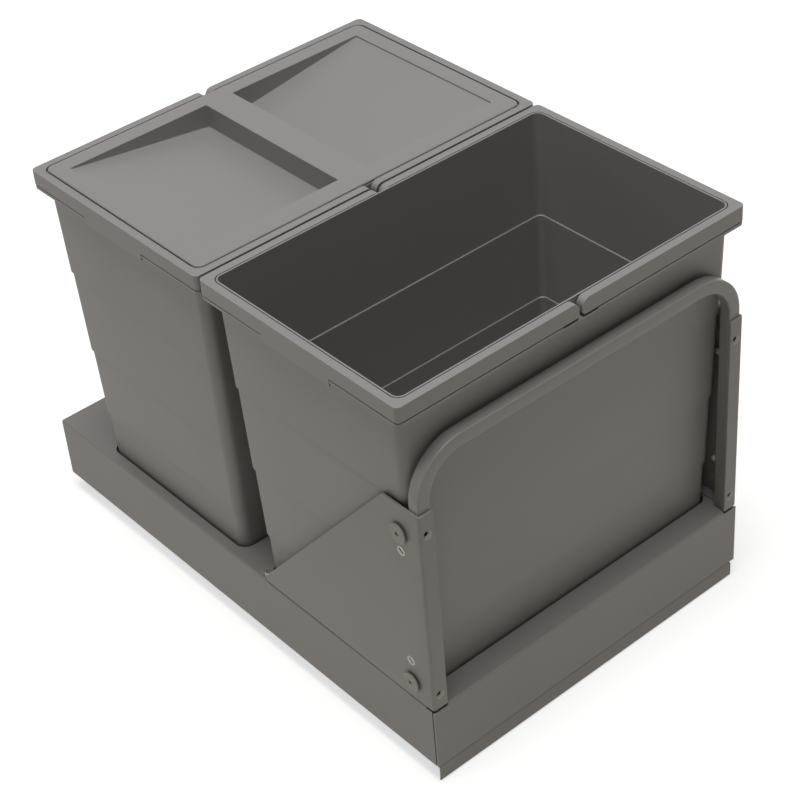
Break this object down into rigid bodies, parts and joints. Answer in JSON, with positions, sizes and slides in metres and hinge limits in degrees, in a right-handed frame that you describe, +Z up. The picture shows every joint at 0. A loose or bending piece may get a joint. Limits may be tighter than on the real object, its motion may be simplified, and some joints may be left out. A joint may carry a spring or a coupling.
{
  "type": "pull-out waste bin unit",
  "caption": "Steel tray on full-extension ball runners with lift-out plastic bins, swing-up handles, a lid with sloped recesses, and front brackets with a tube bow for a door.",
  "frame": {"origin": "on the cabinet floor, under the middle of the unit's overall outline", "axes": "+X to the right seen from the room, +Y into the cabinet, +Z up"},
  "size_m": [0.361, 0.53, 0.3827],
  "materials": {
    "bin_plastic": "fine moulded texture, warm grey",
    "handle_plastic": "fine moulded texture, warm grey",
    "lid_plastic": "fine moulded texture, warm grey",
    "tray_paint": "satin powder coat, warm grey",
    "base_paint": "satin powder coat, warm grey",
    "tube_paint": "satin powder coat, warm grey",
    "zinc_steel": "zinc-plated, slightly dull",
    "screw_steel": "plated, dull",
    "adjuster_zinc": "die-cast, grey coated",
    "cage_plastic": "black, greased"
  },
  "bodies": {
    "base": {"base_plate": "base_paint", "base_rivets": "zinc_steel", "runner_cabinet_left": "zinc_steel", "runner_cabinet_right": "zinc_steel"},
    "pullout": {"tray_frame": "tray_paint", "rear_rail": "tray_paint", "floor_pan": "tray_paint", "bracket_left": "tray_paint", "bracket_right": "tray_paint", "door_bow": "tube_paint", "runner_drawer_left": "zinc_steel", "runner_drawer_right": "zinc_steel", "foot_screws": "screw_steel", "lock_screws": "screw_steel"},
    "front_bin": {"front_bin": "bin_plastic"},
    "rear_bin": {"rear_bin": "bin_plastic"},
    "lid": {"bin_lid": "lid_plastic"},
    "middle_left": {"runner_middle_left": "zinc_steel", "cage_outer_left": "cage_plastic", "cage_inner_left": "cage_plastic"},
    "middle_right": {"runner_middle_right": "zinc_steel", "cage_outer_right": "cage_plastic", "cage_inner_right": "cage_plastic"},
    "front_handle_left": {"front_handle_left": "handle_plastic"},
    "front_handle_right": {"front_handle_right": "handle_plastic"},
    "rear_handle_left": {"rear_handle_left": "handle_plastic"},
    "rear_handle_right": {"rear_handle_right": "handle_plastic"},
    "adjuster_lower_left": {"adjuster_lower_left": "adjuster_zinc"},
    "adjuster_upper_left": {"adjuster_upper_left": "adjuster_zinc"},
    "adjuster_lower_right": {"adjuster_lower_right": "adjuster_zinc"},
    "adjuster_upper_right": {"adjuster_upper_right": "adjuster_zinc"}
  },
  "joints": [
    {"name": "pull_out", "type": "slide", "parent": "base", "child": "pullout", "axis": [0, -1, 0], "range_m": [0, 0.47]},
    {"name": "middle_left_slide", "type": "slide", "parent": "base", "child": "middle_left", "axis": [0, -1, 0], "range_m": [0, 0.235]},
    {"name": "middle_right_slide", "type": "slide", "parent": "base", "child": "middle_right", "axis": [0, -1, 0], "range_m": [0, 0.235]},
    {"name": "front_bin_lift", "type": "slide", "parent": "pullout", "child": "front_bin", "axis": [0, 0, 1], "range_m": [0, 0.33]},
    {"name": "front_handle_left_swing", "type": "hinge", "parent": "front_bin", "child": "front_handle_left", "pos_m": [-0.0092, -0.14125, 0.3752], "axis": [0, 1, 0], "range_deg": [0, 90]},
    {"name": "front_handle_right_swing", "type": "hinge", "parent": "front_bin", "child": "front_handle_right", "pos_m": [0.0092, -0.14125, 0.3752], "axis": [0, -1, 0], "range_deg": [0, 90]},
    {"name": "rear_bin_lift", "type": "slide", "parent": "pullout", "child": "rear_bin", "axis": [0, 0, 1], "range_m": [0, 0.33]},
    {"name": "rear_handle_left_swing", "type": "hinge", "parent": "rear_bin", "child": "rear_handle_left", "pos_m": [-0.0092, 0.09525, 0.3752], "axis": [0, 1, 0], "range_deg": [0, 90]},
    {"name": "rear_handle_right_swing", "type": "hinge", "parent": "rear_bin", "child": "rear_handle_right", "pos_m": [0.0092, 0.09525, 0.3752], "axis": [0, -1, 0], "range_deg": [0, 90]},
    {"name": "lid_lift", "type": "slide", "parent": "rear_bin", "child": "lid", "axis": [0, 0, 1], "range_m": [0, 0.04]},
    {"name": "adjuster_lower_left_turn", "type": "hinge", "parent": "pullout", "child": "adjuster_lower_left", "pos_m": [-0.175, -0.2415, 0.1], "axis": [1, 0, 0], "range_deg": [-90, 90]},
    {"name": "adjuster_upper_left_turn", "type": "hinge", "parent": "pullout", "child": "adjuster_upper_left", "pos_m": [-0.175, -0.2415, 0.2555], "axis": [1, 0, 0], "range_deg": [-90, 90]},
    {"name": "adjuster_lower_right_turn", "type": "hinge", "parent": "pullout", "child": "adjuster_lower_right", "pos_m": [0.175, -0.2415, 0.1], "axis": [1, 0, 0], "range_deg": [-90, 90]},
    {"name": "adjuster_upper_right_turn", "type": "hinge", "parent": "pullout", "child": "adjuster_upper_right", "pos_m": [0.175, -0.2415, 0.2555], "axis": [1, 0, 0], "range_deg": [-90, 90]}
  ],
  "couplings": [
    {"joint": "middle_left_slide", "follows": "pull_out", "ratio": 0.5},
    {"joint": "middle_right_slide", "follows": "pull_out", "ratio": 0.5}
  ]
}
